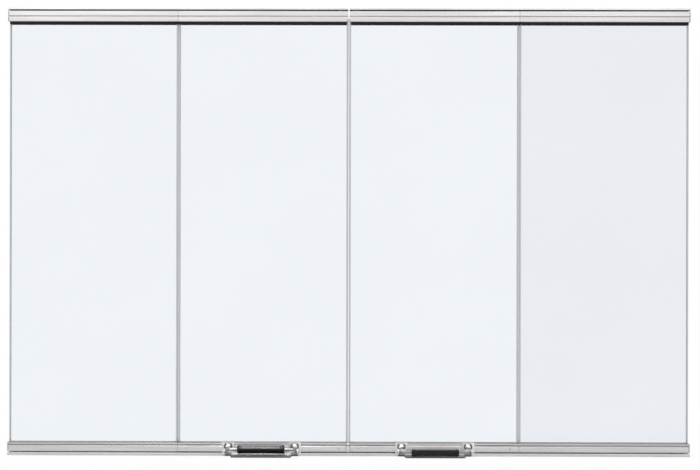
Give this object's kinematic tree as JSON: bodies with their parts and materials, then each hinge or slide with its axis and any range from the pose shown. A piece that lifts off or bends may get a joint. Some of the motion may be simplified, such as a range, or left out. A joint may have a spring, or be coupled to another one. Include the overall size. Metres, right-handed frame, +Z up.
{
  "type": "fireplace glass door set",
  "caption": "Bi-fold glass doors for a fireplace opening: frameless panes in steel rails, folding out on end pivots and a guided track, each door with a drop bail pull.",
  "frame": {"origin": "on the hearth, midway between the doors, in the plane of the glass: the centre of the row of sill screws, at the underside of the sill channels", "axes": "+X along the opening, to the right as seen from the room; -Y towards the room; +Z up"},
  "size_m": [0.914, 0.052, 0.6],
  "materials": {
    "track": "brushed along its length",
    "rail": "brushed along its length",
    "end_cap": "brushed",
    "glass": "clear, polished edges",
    "gasket": "satin",
    "hinge": "satin",
    "pin": "ground",
    "screw": "plated",
    "grub_screw": "satin",
    "nylon": "moulded",
    "spring": "drawn wire",
    "handle_plate": "satin, stamped",
    "dome_screw": "polished",
    "bail": "satin",
    "grip": "satin black"
  },
  "bodies": {
    "tracks": {"left_top_track": "track", "left_sill_channel": "track", "left_pivot_sockets": "nylon", "right_top_track": "track", "right_sill_channel": "track", "right_pivot_sockets": "nylon"},
    "left_outer_panel": {"left_outer_glass": "glass", "left_outer_top_rail": "rail", "left_outer_bottom_rail": "rail", "left_outer_gaskets": "gasket", "left_end_caps": "end_cap", "left_outer_hinge_leaves": "hinge", "left_hinge_pins": "pin", "left_outer_hinge_screws": "screw", "left_outer_clamp_screws": "grub_screw", "left_sill_pivot_pin": "pin", "left_pivot_block": "nylon", "left_pivot_spring": "spring"},
    "left_inner_panel": {"left_inner_glass": "glass", "left_inner_top_rail": "rail", "left_inner_bottom_rail": "rail", "left_inner_gaskets": "gasket", "left_inner_hinge_leaves": "hinge", "left_inner_hinge_screws": "screw", "left_inner_clamp_screws": "grub_screw", "left_guide_block": "nylon", "left_guide_spring": "spring", "left_handle_plate": "handle_plate", "left_handle_screws": "dome_screw"},
    "left_pivot_pin": {"left_top_pivot_pin": "pin"},
    "left_guide": {"left_guide_plunger": "nylon"},
    "left_handle": {"left_bail": "bail", "left_grip": "grip"},
    "right_outer_panel": {"right_outer_glass": "glass", "right_outer_top_rail": "rail", "right_outer_bottom_rail": "rail", "right_outer_gaskets": "gasket", "right_end_caps": "end_cap", "right_outer_hinge_leaves": "hinge", "right_hinge_pins": "pin", "right_outer_hinge_screws": "screw", "right_outer_clamp_screws": "grub_screw", "right_sill_pivot_pin": "pin", "right_pivot_block": "nylon", "right_pivot_spring": "spring"},
    "right_inner_panel": {"right_inner_glass": "glass", "right_inner_top_rail": "rail", "right_inner_bottom_rail": "rail", "right_inner_gaskets": "gasket", "right_inner_hinge_leaves": "hinge", "right_inner_hinge_screws": "screw", "right_inner_clamp_screws": "grub_screw", "right_guide_block": "nylon", "right_guide_spring": "spring", "right_handle_plate": "handle_plate", "right_handle_screws": "dome_screw"},
    "right_pivot_pin": {"right_top_pivot_pin": "pin"},
    "right_guide": {"right_guide_plunger": "nylon"},
    "right_handle": {"right_bail": "bail", "right_grip": "grip"}
  },
  "joints": [
    {"name": "left_door", "type": "hinge", "parent": "tracks", "child": "left_outer_panel", "pos_m": [-0.4468, 0, 0.3], "axis": [0, 0, -1], "range_deg": [0, 80]},
    {"name": "left_fold", "type": "hinge", "parent": "left_outer_panel", "child": "left_inner_panel", "pos_m": [-0.22865, 0.0104, 0.3], "axis": [0, 0, 1], "range_deg": [0, 160]},
    {"name": "left_pivot_release", "type": "slide", "parent": "left_outer_panel", "child": "left_pivot_pin", "axis": [0, 0, -1], "range_m": [0, 0.0025], "stiffness_N_per_m": 600, "springref_m": -0.003, "deforming": ["left_pivot_spring"]},
    {"name": "left_guide_release", "type": "slide", "parent": "left_inner_panel", "child": "left_guide", "axis": [0, 0, -1], "range_m": [0, 0.0025], "stiffness_N_per_m": 600, "springref_m": -0.003, "deforming": ["left_guide_spring"]},
    {"name": "left_handle_swing", "type": "hinge", "parent": "left_inner_panel", "child": "left_handle", "pos_m": [-0.11588, -0.016, 0.0073], "axis": [-1, 0, 0], "range_deg": [-51, 39]},
    {"name": "right_door", "type": "hinge", "parent": "tracks", "child": "right_outer_panel", "pos_m": [0.4468, 0, 0.3], "axis": [0, 0, 1], "range_deg": [0, 80]},
    {"name": "right_fold", "type": "hinge", "parent": "right_outer_panel", "child": "right_inner_panel", "pos_m": [0.22865, 0.0104, 0.3], "axis": [0, 0, -1], "range_deg": [0, 160]},
    {"name": "right_pivot_release", "type": "slide", "parent": "right_outer_panel", "child": "right_pivot_pin", "axis": [0, 0, -1], "range_m": [0, 0.0025], "stiffness_N_per_m": 600, "springref_m": -0.003, "deforming": ["right_pivot_spring"]},
    {"name": "right_guide_release", "type": "slide", "parent": "right_inner_panel", "child": "right_guide", "axis": [0, 0, -1], "range_m": [0, 0.0025], "stiffness_N_per_m": 600, "springref_m": -0.003, "deforming": ["right_guide_spring"]},
    {"name": "right_handle_swing", "type": "hinge", "parent": "right_inner_panel", "child": "right_handle", "pos_m": [0.11588, -0.016, 0.0073], "axis": [-1, 0, 0], "range_deg": [0, 90]}
  ],
  "couplings": [
    {"joint": "left_fold", "follows": "left_door", "ratio": 2},
    {"joint": "right_fold", "follows": "right_door", "ratio": 2}
  ]
}
